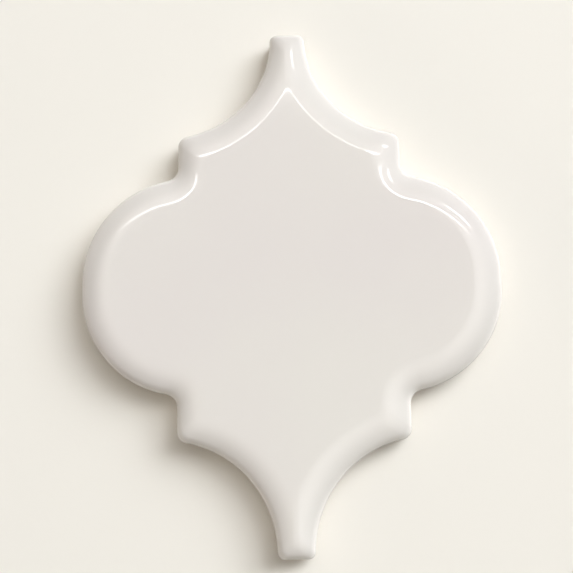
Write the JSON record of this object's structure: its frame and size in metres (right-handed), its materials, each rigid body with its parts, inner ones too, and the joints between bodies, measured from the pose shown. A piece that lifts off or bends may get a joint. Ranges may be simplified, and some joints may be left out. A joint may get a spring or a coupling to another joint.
{
  "type": "arabesque wall tile",
  "caption": "Glazed ceramic arabesque (lantern) wall tile with a rolled edge, stepped shoulders, pointed necks and a grooved back for adhesive.",
  "frame": {"origin": "centre of the flat back, on the land between the two middle keying grooves", "axes": "+X across the two lobes, +Y along the long axis from tip to tip, +Z out of the glazed face"},
  "size_m": [0.15, 0.19, 0.012],
  "materials": {
    "glazed_tile": "glossy warm white glaze on the face and sides, bare fired clay on the back"
  },
  "bodies": {
    "root": {"arabesque_tile": "glazed_tile"}
  },
  "joints": []
}
